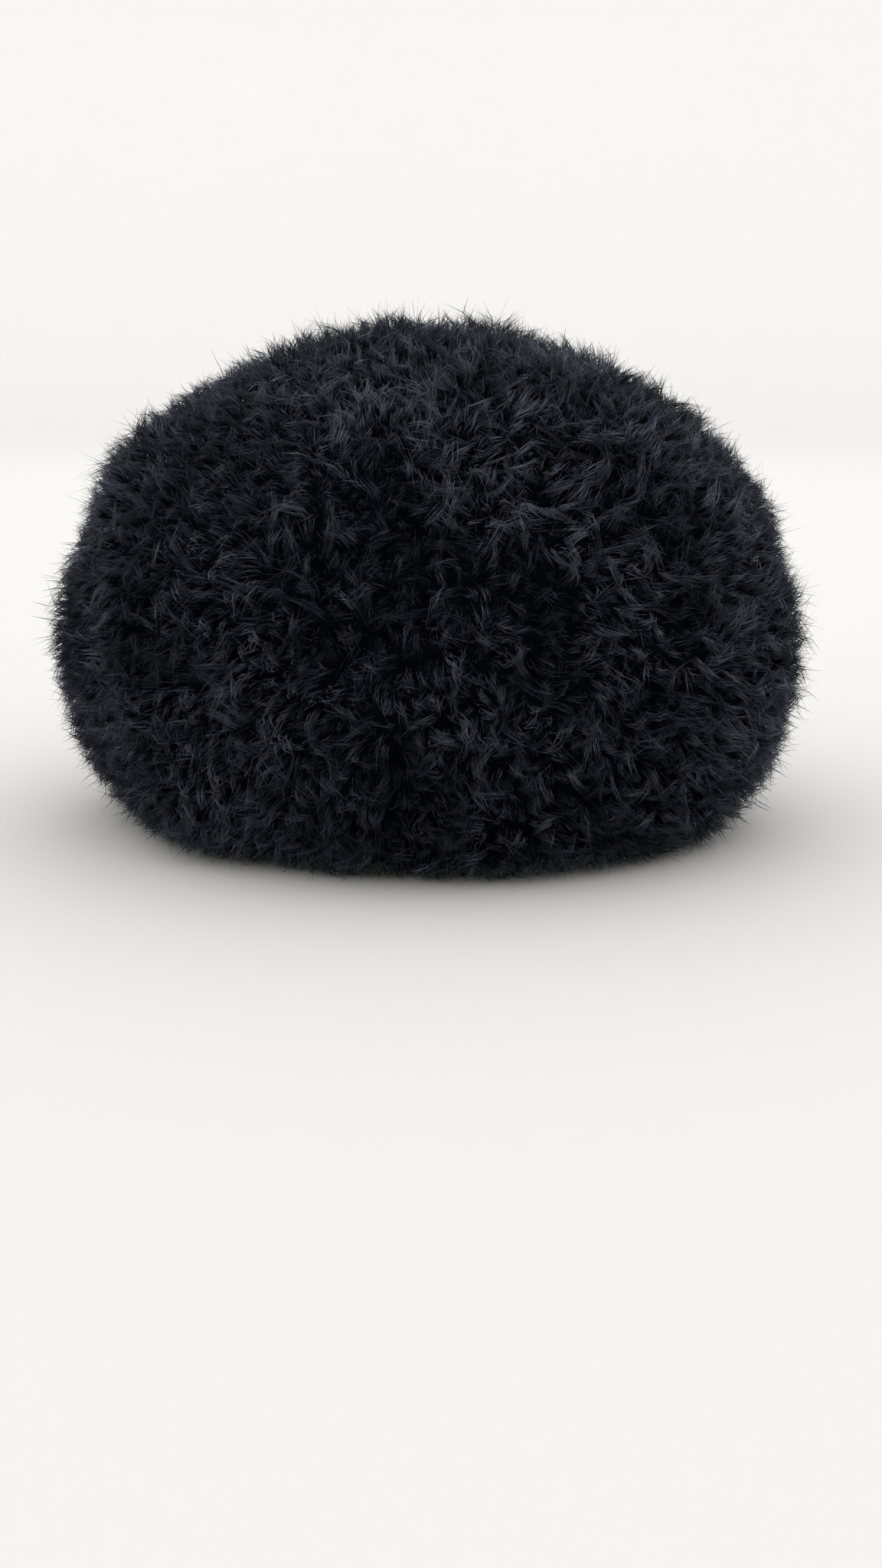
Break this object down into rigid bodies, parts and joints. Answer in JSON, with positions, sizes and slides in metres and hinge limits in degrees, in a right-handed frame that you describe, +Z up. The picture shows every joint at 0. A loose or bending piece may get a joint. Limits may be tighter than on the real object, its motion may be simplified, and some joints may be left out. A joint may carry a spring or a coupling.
{
  "type": "telpek sheepskin hat",
  "caption": "Tall round sheepskin hat with deep shaggy black wool outside and an open oval hollow that fits over the head.",
  "frame": {"origin": "bottom centre of the hat, on the surface that its rim rests on", "axes": "+Z up through the crown, -Y towards the front of the head, -X towards the wearer's right"},
  "size_m": [0.336, 0.3576, 0.2355],
  "materials": {
    "sheepskin": "dark suede, the flesh side of a sheepskin",
    "black_wool": "deep black wool with a dark navy cast, in fine soft wisps"
  },
  "bodies": {
    "root": {"side_skin": "sheepskin", "crown_skin": "sheepskin", "side_fleece": "black_wool", "crown_fleece": "black_wool"}
  },
  "joints": []
}
